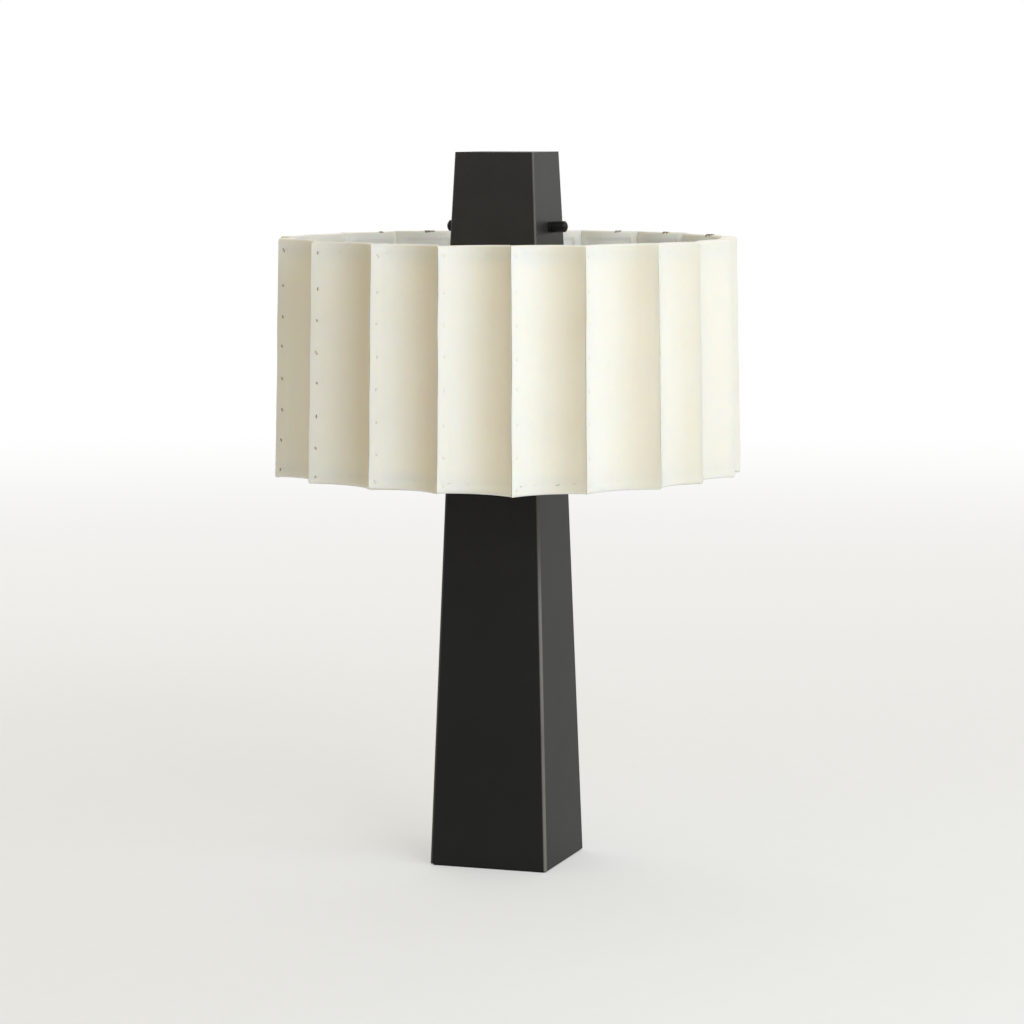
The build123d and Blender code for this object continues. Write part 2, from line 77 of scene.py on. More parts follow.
class Wire:
    """A node socket that can stand in a plain expression."""

    def __init__(self, finish, socket):
        self.finish, self.socket = finish, socket

    def join(self, operation, first, second):
        return self.finish.node("ShaderNodeMath", {"operation": operation}, {0: first, 1: second})

    def __add__(self, other):
        return self.join("ADD", self, other)

    def __radd__(self, other):
        return self.join("ADD", other, self)

    def __sub__(self, other):
        return self.join("SUBTRACT", self, other)

    def __rsub__(self, other):
        return self.join("SUBTRACT", other, self)

    def __mul__(self, other):
        return self.join("MULTIPLY", self, other)

    def __rmul__(self, other):
        return self.join("MULTIPLY", other, self)

    def __or__(self, other):
        return self.join("MAXIMUM", self, other)

    def __gt__(self, other):
        return self.join("GREATER_THAN", self, other)


class Finish:
    """A node tree and the few moves that every finish here is written with."""

    def __init__(self, name, tree=None):
        if tree is None:
            self.material = bpy.data.materials.new(name)
            self.material.use_nodes = True
            tree = self.material.node_tree
        self.tree = tree
        tree.nodes.clear()

    def node(self, kind, settings=None, inputs=None, out=0):
        made = self.tree.nodes.new(kind)
        for key, value in (settings or {}).items():
            setattr(made, key, value)
        for key, value in (inputs or {}).items():
            if isinstance(value, Wire):
                self.tree.links.new(value.socket, made.inputs[key])
            else:
                made.inputs[key].default_value = value
        return Wire(self, made.outputs[out]) if len(made.outputs) else None

    def place(self, stretch=None):
        where = self.node("ShaderNodeTexCoord", out="Object")
        if stretch:
            where = self.node("ShaderNodeVectorMath", {"operation": "MULTIPLY"}, {0: where, 1: stretch})
        return where

    def height(self):
        return self.node("ShaderNodeSeparateXYZ", None, {0: self.place()}, "Z")

    def noise(self, where, scale, detail=2.0, roughness=0.5):
        inputs = {"Vector": where, "Scale": scale, "Detail": detail, "Roughness": roughness}
        return self.node("ShaderNodeTexNoise", None, inputs, "Fac")

    def ease(self, value, low, high, start=0.0, end=1.0):
        inputs = {"Value": value, "From Min": low, "From Max": high, "To Min": start, "To Max": end}
        return self.node("ShaderNodeMapRange", {"interpolation_type": "SMOOTHSTEP"}, inputs)

    def blend(self, factor, first, second):
        return self.node("ShaderNodeMix", {"data_type": "RGBA"}, {0: factor, 6: first, 7: second}, 2)

    def marked(self, name):
        return self.node("ShaderNodeAttribute", {"attribute_name": name}, None, "Fac")

    def bump(self, height, depth, normal=None):
        inputs = {"Height": height, "Strength": 1.0, "Distance": depth}
        if normal:
            inputs["Normal"] = normal
        return self.node("ShaderNodeBump", None, inputs)

    def eased_edges(self, radius):
        return self.node("ShaderNodeBevel", {"samples": 6}, {"Radius": radius})

    def corners(self, half_width, slope, rounding):
        """Up to 1 along a square tapered post's upright edges, most on the right where the painted highlight
        falls; half_width is at z = 0.
        """
        x, y, z = (self.node("ShaderNodeSeparateXYZ", None, {0: self.place()}, axis) for axis in "XYZ")
        wide = [self.node("ShaderNodeMath", {"operation": "ABSOLUTE"}, {0: axis}) for axis in (x, y)]
        short = 2 * (half_width - slope * z) - wide[0] - wide[1]
        on_edge = self.ease(short, WEAR_AND_HIGHLIGHT_FULL * rounding, WEAR_AND_HIGHLIGHT_NONE * rounding, 1.0, 0.0)
        return on_edge * self.ease(x, -LEFT_TO_RIGHT, LEFT_TO_RIGHT, PAINTED_HIGHLIGHT_LEFT, 1.0)

    def surface(self, **sockets):
        inputs = {}
        for key, value in sockets.items():
            inputs[key.replace("_", " ").title().replace("Ior", "IOR")] = value
        shader = self.node("ShaderNodeBsdfPrincipled", None, inputs)
        self.node("ShaderNodeOutputMaterial", None, {"Surface": shader})
        return self.material


def shade_of(red, green, blue):
    return (red, green, blue, 1.0)


def satin_black(name, dark, light, roughness, corner=None, wear_and_highlight_amount=1.0, shadow_heights=None):
    """Powder coat: fine orange peel, faint clouding and dust.

    corner says where a post's edges are lightened, a little by wear and mostly by a painted highlight; the
    next two say how much, and at which heights it fades into the shade's shadow.
    """
    coat = Finish(name)
    where = coat.place()
    cloud = coat.noise(where, 11.0, 3.0)
    peel = coat.noise(where, 620.0, 2.0, 0.4)
    grain = coat.noise(where, 2400.0, 1.0)
    dust = coat.ease(coat.noise(where, 330.0, 3.0, 0.7), 0.70, 0.80) * 0.35
    colour = coat.blend(coat.ease(cloud, 0.3, 0.7), dark, light)
    colour = coat.blend(dust, colour, shade_of(0.035, 0.034, 0.032))
    roughness = roughness + 0.10 * (cloud - 0.5) + 0.08 * (peel - 0.5)
    if corner:
        # Lighter edges: a little wear, mostly a painted highlight, strongest on the right and fading where
        # the shade's shadow falls
        wear_and_highlight = coat.corners(*corner) * coat.ease(cloud, 0.2, 0.6, 0.75 * wear_and_highlight_amount, wear_and_highlight_amount)
        if shadow_heights:
            wear_and_highlight = wear_and_highlight * coat.ease(coat.height(), *shadow_heights, 1.0, PAINTED_HIGHLIGHT_ABOVE)
        colour = coat.blend(wear_and_highlight, colour, shade_of(0.19, 0.188, 0.182))
        roughness = roughness - 0.16 * wear_and_highlight
    return coat.surface(
        base_color=colour,
        roughness=roughness,
        specular_ior_level=0.20,
        normal=coat.bump(0.7 * peel + 0.3 * grain, 0.09 * MM, coat.eased_edges(0.7 * MM)),
    )


def ivory_sheet():
    """Stiff paper sheet: long fibres, soft clouds, paler where doubled, a darker warm painted shade across
    each panel, brown round the stitches from stain and painted hole shade.
    """
    sheet = Finish("ivory_sheet")
    where = sheet.place()
    cloud = sheet.noise(where, 16.0, 4.0, 0.55)
    fleck = sheet.noise(where, 210.0, 3.0, 0.6)
    fibre = sheet.noise(sheet.place((1.0, 1.0, 0.09)), 900.0, 3.0, 0.6)
    streak = sheet.noise(sheet.place((1.0, 1.0, 0.03)), 95.0, 2.0)
    tooth = sheet.noise(where, 1500.0, 2.0, 0.6)
    tone = 0.45 * cloud + 0.25 * streak + 0.15 * fleck + 0.15 * fibre + sheet.marked("tone")
    pale = sheet.ease(tone, 0.32, 0.68)
    # The lighter tone is the sheet's own; the darker warm tone is painted shade, laid across each panel
    lighter = sheet.blend(pale, shade_of(0.88, 0.872, 0.85), shade_of(0.905, 0.90, 0.885))
    painted_shade = sheet.blend(pale, shade_of(0.765, 0.715, 0.605), shade_of(0.795, 0.755, 0.66))
    colour = sheet.blend(sheet.marked("painted_shade"), lighter, painted_shade)
    colour = sheet.blend(0.15 * sheet.marked("doubled"), colour, shade_of(0.90, 0.89, 0.85))
    # Brown round the stitches: part stain, part painted shade of the stitch holes
    colour = sheet.blend(0.5 * sheet.marked("stain_and_hole_shade"), colour, shade_of(0.26, 0.18, 0.11))
    relief = 0.5 * fibre + 0.3 * tooth + 0.2 * fleck
    return sheet.surface(
        base_color=colour,
        roughness=0.62 + 0.14 * (fleck - 0.5) + 0.10 * (cloud - 0.5),
        specular_ior_level=0.28,
        subsurface_weight=0.5,
        subsurface_radius=(1.0, 0.72, 0.36),
        subsurface_scale=2.0 * MM,
        normal=sheet.bump(relief, 0.10 * MM),
    )


def thread(name, lighter, dark):
    """Spun thread: fine fibres, darker with age."""
    yarn = Finish(name)
    where = yarn.place()
    fibre = yarn.noise(where, 3200.0, 2.0, 0.7)
    return yarn.surface(
        base_color=yarn.blend(yarn.marked("age") + 0.3 * (fibre - 0.5), lighter, dark),
        roughness=0.78 + 0.15 * (fibre - 0.5),
        specular_ior_level=0.2,
        normal=yarn.bump(fibre, 0.12 * MM),
    )


def ivory_enamel():
    """Dipped enamel on wire and strip: glossy, slightly runny, a little yellowed."""
    enamel = Finish("ivory_enamel")
    where = enamel.place()
    runs = enamel.noise(enamel.place((1.0, 1.0, 0.3)), 130.0, 2.0)
    age = enamel.noise(where, 26.0, 4.0)
    return enamel.surface(
        base_color=enamel.blend(
            enamel.ease(age, 0.35, 0.7), shade_of(0.80, 0.77, 0.69), shade_of(0.70, 0.65, 0.53)
        ),
        roughness=0.34 + 0.18 * (age - 0.5),
        specular_ior_level=0.45,
        normal=enamel.bump(runs, 0.12 * MM),
    )


def zinc_steel(name, bright, dull, roughness):
    """Plated steel: spangled plating, fine draw lines and dulled patches."""
    steel = Finish(name)
    where = steel.place()
    spangle = steel.node("ShaderNodeTexVoronoi", None, {"Vector": where, "Scale": 420.0}, "Distance")
    lines = steel.noise(steel.place((1.0, 1.0, 14.0)), 160.0, 2.0, 0.6)
    dulled = steel.noise(where, 60.0, 4.0, 0.6)
    return steel.surface(
        base_color=steel.blend(steel.ease(0.6 * dulled + 0.4 * spangle, 0.3, 0.65), bright, dull),
        metallic=0.97,
        roughness=roughness + 0.16 * (dulled - 0.5) + 0.12 * (lines - 0.5),
        normal=steel.bump(lines, 0.03 * MM),
    )


def brass():
    """Pressed brass: warm, tarnished in patches."""
    metal = Finish("pressed_brass")
    where = metal.place()
    tarnish = metal.noise(where, 90.0, 4.0, 0.6)
    return metal.surface(
        base_color=metal.blend(
            metal.ease(tarnish, 0.4, 0.75), shade_of(0.78, 0.58, 0.26), shade_of(0.42, 0.28, 0.11)
        ),
        metallic=0.98,
        roughness=0.26 + 0.22 * (tarnish - 0.4),
        normal=metal.bump(tarnish, 0.02 * MM),
    )


def black_moulding(name, colour, roughness):
    """Moulded plastic: fine spark texture, flow clouding and dust."""
    mould = Finish(name)
    where = mould.place()
    spark = mould.noise(where, 1900.0, 2.0, 0.7)
    flow = mould.noise(where, 40.0, 3.0)
    dust = mould.ease(mould.noise(where, 260.0, 3.0, 0.7), 0.62, 0.80) * 0.3
    dim = shade_of(*(0.7 * channel for channel in colour[:3]))
    clean = mould.blend(mould.ease(flow, 0.35, 0.65), dim, colour)
    return mould.surface(
        base_color=mould.blend(dust, clean, shade_of(0.09, 0.088, 0.08)),
        roughness=roughness + 0.14 * (spark - 0.5) + 0.10 * (flow - 0.5),
        specular_ior_level=0.35,
        normal=mould.bump(spark, 0.05 * MM, mould.eased_edges(0.4 * MM)),
    )


def opal_lamp(cap_end):
    """Lamp: plated screw cap with thread rings up to the height cap_end, opal tube above."""
    lamp = Finish("opal_lamp")
    where = lamp.place()
    height = lamp.height()
    glass = height > cap_end
    cloud = lamp.noise(where, 30.0, 3.0)
    plate = lamp.noise(where, 320.0, 3.0)
    turns = height * (2 * math.pi / LAMP_THREAD_PITCH)
    rings = lamp.node("ShaderNodeMath", {"operation": "SINE"}, {0: turns})
    tube = lamp.blend(lamp.ease(cloud, 0.3, 0.7), shade_of(0.84, 0.83, 0.80), shade_of(0.89, 0.885, 0.86))
    metal = lamp.blend(lamp.ease(plate, 0.3, 0.7), shade_of(0.62, 0.61, 0.58), shade_of(0.48, 0.46, 0.42))
    return lamp.surface(
        base_color=lamp.blend(glass, metal, tube),
        metallic=1.0 - glass,
        roughness=0.22 + 0.05 * (cloud - 0.5) + 0.30 * (plate - 0.4) * (1.0 - glass),
        coat_weight=0.5 * glass,
        normal=lamp.bump(rings * (1.0 - glass), 0.5 * MM),
    )


def wool_felt():
    """Pressed black felt: matted fibres and lint."""
    felt = Finish("wool_felt")
    where = felt.place()
    mat = felt.noise(where, 850.0, 4.0, 0.75)
    lint = felt.ease(felt.noise(where, 520.0, 2.0, 0.8), 0.66, 0.78) * 0.5
    deep, worn = shade_of(0.012, 0.012, 0.013), shade_of(0.034, 0.034, 0.035)
    wool = felt.blend(felt.ease(mat, 0.3, 0.7), deep, worn)
    return felt.surface(
        base_color=felt.blend(lint, wool, shade_of(0.10, 0.10, 0.10)),
        roughness=0.93 + 0.06 * (mat - 0.5),
        sheen_weight=0.4,
        specular_ior_level=0.15,
        normal=felt.bump(mat, 0.5 * MM),
    )


def grey_iron():
    """Sand-cast iron: pitted skin with rust in places."""
    iron = Finish("grey_iron")
    where = iron.place()
    pits = iron.noise(where, 420.0, 5.0, 0.7)
    rust = iron.ease(iron.noise(where, 45.0, 5.0, 0.65), 0.52, 0.72)
    skin = iron.blend(pits, shade_of(0.05, 0.05, 0.05), shade_of(0.13, 0.13, 0.13))
    return iron.surface(
        base_color=iron.blend(rust, skin, shade_of(0.16, 0.07, 0.03)),
        metallic=0.55 * (1.0 - rust),
        roughness=0.62 + 0.3 * (pits - 0.5),
        normal=iron.bump(pits, 0.4 * MM),
    )


def post_corner(node, head_width, rounding):
    """Half width at the floor's level, slope and edge rounding of a square post that tapers upwards."""
    low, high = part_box(node)
    foot_width = high[0] - low[0]
    slope = (foot_width - head_width) / 2 / (high[2] - low[2])
    return foot_width / 2 + slope * low[2], slope, rounding


finishes = {
    "black_coat": satin_black(
        "column_coat",
        shade_of(0.0050, 0.0050, 0.0049),
        shade_of(0.0074, 0.0073, 0.0070),
        0.46,
        post_corner("column_shell", COLUMN_HEAD_WIDTH, COLUMN_ROUNDING),
        shadow_heights=COLUMN_SHADE_SHADOW,
    ),
    # The same black paint as the column, painted lighter: the cap stands in full light above the shade, the
    # column in its shadow
    "cap_coat_painted_lighter": satin_black(
        "cap_coat_painted_lighter",
        shade_of(0.019, 0.019, 0.0182),
        shade_of(0.025, 0.0247, 0.0236),
        0.46,
        post_corner("cap_shell", CAP_HEAD_WIDTH, CAP_ROUNDING),
        CAP_WEAR_AND_HIGHLIGHT,
    ),
    "shade_sheet": ivory_sheet(),
    "frame_wire": ivory_enamel(),
    "felt": wool_felt(),
    "cast_iron": grey_iron(),
    "bushing_rubber": black_moulding("bushing_rubber", shade_of(0.018, 0.018, 0.018), 0.66),
    "plain_steel": zinc_steel("zinc_steel", shade_of(0.62, 0.63, 0.65), shade_of(0.44, 0.44, 0.45), 0.33),
    "stem_black": satin_black(
        "stem_coat", shade_of(0.011, 0.011, 0.011), shade_of(0.017, 0.017, 0.016), 0.40
    ),
    "holder_plastic": black_moulding("holder_moulding", shade_of(0.024, 0.022, 0.020), 0.40),
    "screw_brass": brass(),
    "opal_lamp": opal_lamp(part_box("screw_shells")[1][2] + LAMP_CAP_SHOWS),
    "switch_plastic": black_moulding("switch_moulding", shade_of(0.035, 0.035, 0.036), 0.48),
    "knob_black": satin_black(
        "knob_coat", shade_of(0.008, 0.008, 0.008), shade_of(0.012, 0.012, 0.012), 0.36
    ),
    "ridge_thread": thread("ridge_thread", shade_of(0.87, 0.83, 0.73), shade_of(0.17, 0.115, 0.07)),
    "hem_thread": thread("hem_thread", shade_of(0.87, 0.84, 0.76), shade_of(0.30, 0.25, 0.18)),
    "tie_thread": thread("tie_thread", shade_of(0.46, 0.33, 0.21), shade_of(0.17, 0.10, 0.058)),
    "spindle_steel": zinc_steel(
        "turned_steel", shade_of(0.58, 0.58, 0.58), shade_of(0.50, 0.50, 0.50), 0.28
    ),
}
for piece in frame["record"]["subparts"]:
    slots = nodes[piece["node"]].data.materials
    slots.clear()
    # The cap takes the lighter, painted-light copy of the black coat
    slots.append(finishes["cap_coat_painted_lighter" if piece["node"] == "cap_shell" else piece["material_slot"]])


# Shade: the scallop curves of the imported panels, repeated here for sheets with hems, laps and sewing

SPANS = (17.3,) * 12 + (24.2, 20.9, 17.8, 17.4, 17.7, 20.1, 14.9, 19.4)
SHADE_TURN = 1.7
PANELS = len(SPANS)
RIDGES = [math.radians(SHADE_TURN + sum(SPANS[:ridge])) for ridge in range(PANELS + 1)]
SWING = math.radians(37.0)
RIDGE_FOOT, RIDGE_HEAD = 229 * MM, 224 * MM
SHEET = 1.2 * MM
SEAM = 0.22 * MM
RIM_LOW, RIM_HIGH = (corner[2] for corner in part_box("shade_panel_01"))
TALL = RIM_HIGH - RIM_LOW

# Hem folded round the frame strip, lifted over the ribs behind the ridges
ENDS = ("low", "high")
ROLL = 2.15 * MM
HEM_LAYER = 0.9 * MM
HEM_LENGTH = 17.0 * MM
HEM_SEWN = 9.0 * MM
HEM_BED = 0.1 * MM
HEM_POCKET = 0.9 * MM
HEM_FEATHER = 0.7
STRIP_END, STRIP_CLEAR = 7.2 * MM, 9.6 * MM
RIB_END, RIB_CLEAR = 6.0 * MM, 12.0 * MM
RIB_LIFT, RIB_LIFT_FROM, RIB_LIFT_TO = 1.2 * MM, 3.0 * MM, 6.5 * MM

# Lap sewn down beside each ridge, and the small reliefs of the outer face
LAP_SEWN, LAP_FADE, LAP_RISE = 6.3 * MM, 4.0 * MM, 0.12 * MM
RIDGE_EASE, RIDGE_STAND, RIDGE_FADE = 0.5 * MM, 1.1 * MM, 2.5
HEM_BULGE, BULGE_FULL, BULGE_FADES, BULGE_GONE = 0.08 * MM, 3.0 * MM, 5.0 * MM, 10.0 * MM
HEM_DIP, HEM_DIP_SPREAD = 0.05 * MM, 1.6 * MM
RIDGE_PULL, RIDGE_PULL_SPREAD = 0.32 * MM, 2.0 * MM
HEM_PULL, HEM_PULL_SPREAD = 0.22 * MM, 3.2 * MM

# Brown round the stitches, part stain and part painted shade of the stitch holes, and paler sheet where it
# is doubled at the laps and hems
STAIN_AND_HOLE_SHADE_SPREAD = 0.95 * MM
LAP_PALE_TO, LAP_PALE_END = LAP_SEWN - 1.0 * MM, LAP_SEWN + 3.0 * MM
HEM_PALE_TO, HEM_PALE_END = 6.0 * MM, 12.0 * MM

# Share of the height over which a rim's own lift and tilt fade out
RIM_SHARE = 0.22

# Mesh of a panel: columns from its left and right ridge, rows from each stitch and rim, all in millimetres
LEFT_COLUMNS = (0, 0.15, 0.4, 0.9, 1.8, 3.0, 4.2, 5.0, 5.6, 6.2, 6.8, 7.4, 8.0, 9.0, 10.4, 12.4)
RIGHT_COLUMNS = (5.0, 3.6, 2.4, 1.4, 0.8, 0.4, 0.15, 0)
STITCH_ROWS = (-2.2, -1.3, -0.6, 0, 0.6, 1.3, 2.2)
HEM_ROWS = (7.4, 8.4, 9.0, 9.7, 10.8)
COLUMN_PITCH, ROW_GAP = 4.2 * MM, 0.45 * MM
OUTER_ROWS, LINING_ROWS = 36, 16
ROLL_STEPS, HEM_STEPS, POCKET_STEPS = 6, 8, 4
SHARP_ANGLE = math.radians(48)

# Stain and stitch-hole shade, doubled and painted shade marks of the hems and of the lining; the lining
# carries a little painted shade all over
HEM_MARKS = (0.0, 1.0, 0.0)
LINING_MARKS = (0.0, 0.0, 0.2)

# Stitches of a ridge, as shares of the height from the top, and the kinds they are picked from
STITCH_LEVELS = (0.046, 0.19, 0.32, 0.45, 0.58, 0.72, 0.85, 0.97)
STITCH_KINDS = ("dash", "dash", "slant", "slant", "pair", "dot")

# Stitches of a hem: first place, pitch, share that shows, and room left before the right ridge
HEM_FIRST, HEM_PITCH, HEM_SHOWN, HEM_ROOM = 12 * MM, 17 * MM, 0.65, 6 * MM
HEM_AGE_USUAL = 0.15

# How dark the stitches of a ridge or hem are, and how far a ridge draws up the lower rim, in millimetres;
# ridges 12 and 13, on the shaded left, are set darkest as painted shade, those at the front and right pale
STITCH_AGE_AND_SHADE = {12: 1.0, 13: 0.9, 14: 0.35, 15: 0.12, 16: 0.1, 17: 0.1, 18: 0.1, 19: 0.12}
HEM_AGE = {(15, "high"): 1.0, (15, "low"): 0.6, (16, "low"): 0.8}
DRAWN_UP = {12: -0.8, 13: 2.0, 14: 2.8, 15: 1.6, 16: -0.8, 17: 0.8, 18: 1.2, 19: 2.8, 0: 1.2}

# Painted shade: each panel turns a darker warm tone between these shares of its width, less on the shade's
# right side, where painted light lifts it
PAINTED_SHADE_FROM, PAINTED_SHADE_TO = 0.18, 0.9
RIGHT_SIDE_PAINTED_LIGHT = 0.8
RIGHT_SIDE_LIGHT_SPREAD = math.radians(34.0)


def smooth(low, high, value):
    t = min(max((value - low) / (high - low), 0.0), 1.0)
    return t * t * (3 - 2 * t)


def bell(distance, width):
    return math.exp(-((distance / width) ** 2))


def steps(start, end, count):
    return [start + (end - start) * k / count for k in range(count + 1)]


class Drift:
    """A slow wander along a length, alike at every run."""

    def __init__(self, seed, waves, size):
        pick = random.Random(seed)
        self.parts = [(wave, pick.uniform(0, 2 * math.pi), pick.uniform(0.5, 1.0)) for wave in waves]
        self.scale = size / sum(part[2] for part in self.parts)

    def __call__(self, along):
        waves = (part * math.sin(2 * math.pi * wave * along + start) for wave, start, part in self.parts)
        return self.scale * sum(waves)


class Ridge:
    """One ridge of the shade: where it stands, how it wanders, and how dark its sewing is, from age and, on
    the shaded left, painted shade.
    """

    def __init__(self, index):
        pick = random.Random(f"ridge{index}")
        angle = RIDGES[index]
        self.out = Vector((math.cos(angle), math.sin(angle), 0))
        self.along = Vector((-math.sin(angle), math.cos(angle), 0))
        self.bulge = Drift(f"out{index}", (0.8, 1.9, 3.3), 0.35 * MM)
        self.lean = Drift(f"side{index}", (0.7, 1.6, 2.9), 0.55 * MM)
        # Thread darkness: the listed ridges carry painted shade on the left side, the rest age at random
        self.age = STITCH_AGE_AND_SHADE.get(index, pick.uniform(0.2, 0.9))
        drawn_up = DRAWN_UP.get(index, pick.uniform(-0.8, 2.0))
        self.lift = {"low": drawn_up * MM, "high": pick.uniform(-0.4, 0.4) * MM}

    def wander(self, rise):
        return (RIDGE_STAND + self.bulge(rise)) * self.out + self.lean(rise) * self.along


ridges = [Ridge(index) for index in range(PANELS)]


class Panel:
    """One shade panel; arc runs from its left ridge to its right one, z is height."""

    def __init__(self, index):
        self.index = index
        self.left, self.right = ridges[index], ridges[(index + 1) % PANELS]
        self.half = (RIDGES[index + 1] - RIDGES[index]) / 2
        self.turn = (RIDGES[index + 1] + RIDGES[index]) / 2
        self.bend = RIDGE_FOOT * math.sin(self.half) / math.sin(SWING)
        self.arc = 2 * self.bend * self.swing((RIM_LOW + RIM_HIGH) / 2, 0.0)
        self.belly = Drift(f"belly{index}", (0.6, 1.3, 2.4), 0.75 * MM)
        self.twist = Drift(f"twist{index}", (0.7, 1.7), 0.45 * MM)
        pick = random.Random(f"panel{index}")
        self.tone = pick.uniform(-0.05, 0.05)
        self.step = {}
        for end in ENDS:
            self.step[end] = (pick.uniform(-0.3, 0.3) * MM, pick.uniform(-0.4, 0.4) * MM)
        self.ridge_stitches = []
        for level in STITCH_LEVELS:
            arc = LAP_SEWN + pick.uniform(-0.5, 0.4) * MM
            z = RIM_HIGH - level * TALL + pick.uniform(-1.8, 1.8) * MM
            kind = pick.choice(STITCH_KINDS)
            self.ridge_stitches.append((arc, z, kind, pick.uniform(0.75, 1.15)))
        self.hem_stitches = {end: self.hem_row(pick, end) for end in ENDS}

    def hem_row(self, pick, end):
        """The stitches of one hem: place along the arc, distance from the rim, length and age."""
        row = []
        age = HEM_AGE.get((self.index, end), HEM_AGE_USUAL)
        for k in range(round(self.arc / HEM_PITCH)):
            arc = HEM_FIRST + HEM_PITCH * k + pick.uniform(-3.5, 3.5) * MM
            if pick.random() < HEM_SHOWN and arc < self.arc - HEM_ROOM:
                length = pick.uniform(2.2, 4.0) * MM
                down = HEM_SEWN + pick.uniform(-0.5, 0.5) * MM
                row.append((arc, down, length, age * pick.uniform(0.3, 1.0)))
        return row

    def bend_centre(self, z):
        ridge = RIDGE_FOOT + (RIDGE_HEAD - RIDGE_FOOT) * (z - RIM_LOW) / TALL
        return ridge * math.cos(self.half) + math.sqrt(self.bend**2 - (ridge * math.sin(self.half)) ** 2)

    def swing(self, z, depth):
        """Half the angle that the panel spans about its bend, for a face depth behind the outer one."""
        centre, reach = self.bend_centre(z), self.bend + depth
        crease = centre * math.cos(self.half) - math.sqrt(reach**2 - (centre * math.sin(self.half)) ** 2)
        return math.asin(crease * math.sin(self.half) / reach) - SEAM / reach

    def at(self, arc, z, depth):
        """A point depth inside the true curve, with the wander of the ridges and rims."""
        across = 2 * arc / self.arc - 1
        reach = self.bend + depth
        swing = across * self.swing(z, depth)
        x, y = self.bend_centre(z) - reach * math.cos(swing), reach * math.sin(swing)
        cos, sin = math.cos(self.turn), math.sin(self.turn)
        point = Vector((x * cos - y * sin, x * sin + y * cos, z))
        rise, share = (z - RIM_LOW) / TALL, arc / self.arc
        point += (1 - share) ** RIDGE_FADE * self.left.wander(rise)
        point += share**RIDGE_FADE * self.right.wander(rise)
        fades = {"low": 1 - smooth(0.0, RIM_SHARE, rise), "high": smooth(1 - RIM_SHARE, 1.0, rise)}
        for end, near in fades.items():
            lift, tilt = self.step[end]
            lift += (1 - share) * self.left.lift[end] + share * self.right.lift[end]
            point.z += near * (lift + tilt * across)
        return point

    def sag(self, arc, z):
        across, rise = 2 * arc / self.arc - 1, (z - RIM_LOW) / TALL
        return (1 - across**2) * (self.belly(rise) + 2 * across * self.twist(rise))

    def relief(self, arc, z):
        """How far the outer face lies inside the true curve: eased ridge, lap, hem bulge, stitch pulls."""
        edge, rim = min(arc, self.arc - arc), min(z - RIM_LOW, RIM_HIGH - z)
        depth = RIDGE_EASE - math.sqrt(RIDGE_EASE**2 - max(RIDGE_EASE - edge, 0.0) ** 2)
        depth -= LAP_RISE * (1 - smooth(LAP_SEWN, LAP_SEWN + LAP_FADE, arc))
        depth -= HEM_BULGE * smooth(0.0, BULGE_FULL, rim) * (1 - smooth(BULGE_FADES, BULGE_GONE, rim))
        depth += HEM_DIP * bell(rim - HEM_SEWN, HEM_DIP_SPREAD)
        for sewn, level, _, size in self.ridge_stitches:
            depth += RIDGE_PULL * size * bell(math.hypot(arc - sewn, z - level), RIDGE_PULL_SPREAD)
        for end, near in (("low", z - RIM_LOW), ("high", RIM_HIGH - z)):
            for sewn, down, _, _ in self.hem_stitches[end]:
                depth += HEM_PULL * bell(math.hypot(arc - sewn, near - down), HEM_PULL_SPREAD)
        return depth

    def skin(self, arc, z):
        return self.at(arc, z, self.sag(arc, z) + self.relief(arc, z))

    def lining(self, arc, z):
        return self.at(arc, z, self.sag(arc, z) + SHEET)

    # Brown round each stitch, part stain and part painted shade of its hole, darker on ridges with dark
    # thread
    def stain_and_hole_shade(self, arc, z):
        marks = []
        for sewn, level, _, size in self.ridge_stitches:
            marks.append(size * bell(math.hypot(arc - sewn, z - level), STAIN_AND_HOLE_SHADE_SPREAD))
        return min(max(marks), 1.0) * self.left.age

    def doubled(self, arc, z):
        rim = min(z - RIM_LOW, RIM_HIGH - z)
        over_lap = 1 - smooth(LAP_PALE_TO, LAP_PALE_END, arc)
        over_hem = 1 - smooth(HEM_PALE_TO, HEM_PALE_END, rim)
        return max(over_lap, over_hem)

    # Painted shade across the panel, taken back on the shade's right side by painted light
    def painted_shade(self, arc):
        sideways = math.remainder(self.turn, 2 * math.pi)
        lighter = RIGHT_SIDE_PAINTED_LIGHT * bell(sideways, RIGHT_SIDE_LIGHT_SPREAD)
        return smooth(PAINTED_SHADE_FROM, PAINTED_SHADE_TO, arc / self.arc) * (1 - lighter)

    def columns(self):
        """Places along the arc, closest beside the ridges and across the lap's sewing."""
        left = [away * MM for away in LEFT_COLUMNS]
        right = [self.arc - away * MM for away in RIGHT_COLUMNS]
        return left + steps(left[-1], right[0], round((right[0] - left[-1]) / COLUMN_PITCH))[1:-1] + right

    def rows(self):
        """Heights on the outer face, closest at the stitches."""
        start, end = RIM_LOW + ROLL, RIM_HIGH - ROLL
        levels = steps(start, end, OUTER_ROWS)
        for _, level, _, _ in self.ridge_stitches:
            levels += [level + up * MM for up in STITCH_ROWS]
        for down in HEM_ROWS:
            levels += [RIM_LOW + down * MM, RIM_HIGH - down * MM]
        kept = []
        for level in sorted(levels):
            if start <= level <= end and (not kept or level - kept[-1] > ROW_GAP):
                kept.append(level)
        return kept

